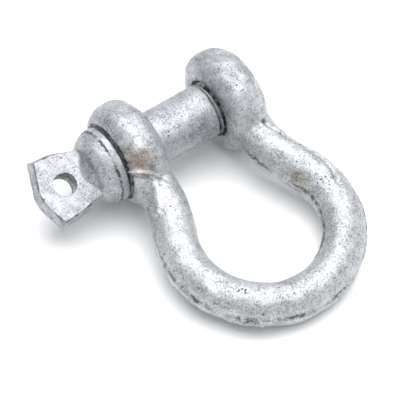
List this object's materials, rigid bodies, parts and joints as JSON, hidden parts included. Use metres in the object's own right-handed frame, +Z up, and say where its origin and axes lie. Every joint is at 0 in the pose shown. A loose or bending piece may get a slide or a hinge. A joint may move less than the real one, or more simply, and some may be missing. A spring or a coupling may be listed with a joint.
{
  "type": "bow shackle",
  "caption": "Galvanised bow shackle: a round-bar bow with fat ring ears, closed by a right-hand screw pin with a collar and a flat lug pierced by an eye.",
  "frame": {"origin": "on the pin's axis, midway between the two ears of the bow", "axes": "+Y along the pin from its head to the tapped ear; +X level towards the crown; +Z up, with the shackle lying on its two ears and its crown on a floor at z = -15.6 mm, so the bow's own plane slopes down 8.3 degrees from the pin to the crown"},
  "size_m": [0.0857, 0.0788, 0.0312],
  "materials": {
    "bow_zinc": "hot-dip galvanised forged steel: satin zinc, mottled and lightly pitted",
    "pin_zinc": "hot-dip galvanised forged steel: satin zinc, brighter and more granular on the lug",
    "thread_zinc": "spun galvanised thread: thin zinc, darker in the roots"
  },
  "bodies": {
    "bow": {"bow": "bow_zinc"},
    "pin_travel": {"pin_shank": "pin_zinc"},
    "pin_turning": {"pin_head": "pin_zinc", "pin_thread": "thread_zinc"}
  },
  "joints": [
    {"name": "pin_advance", "type": "slide", "parent": "bow", "child": "pin_travel", "axis": [0, -1, 0], "range_m": [0, 0.06985]},
    {"name": "pin_turn", "type": "hinge", "parent": "pin_travel", "child": "pin_turning", "pos_m": [0, 0, 0], "axis": [0, -1, 0], "range_deg": [0, 10890]}
  ],
  "couplings": [
    {"joint": "pin_turn", "follows": "pin_advance", "rad_per_m": 2721.1}
  ]
}
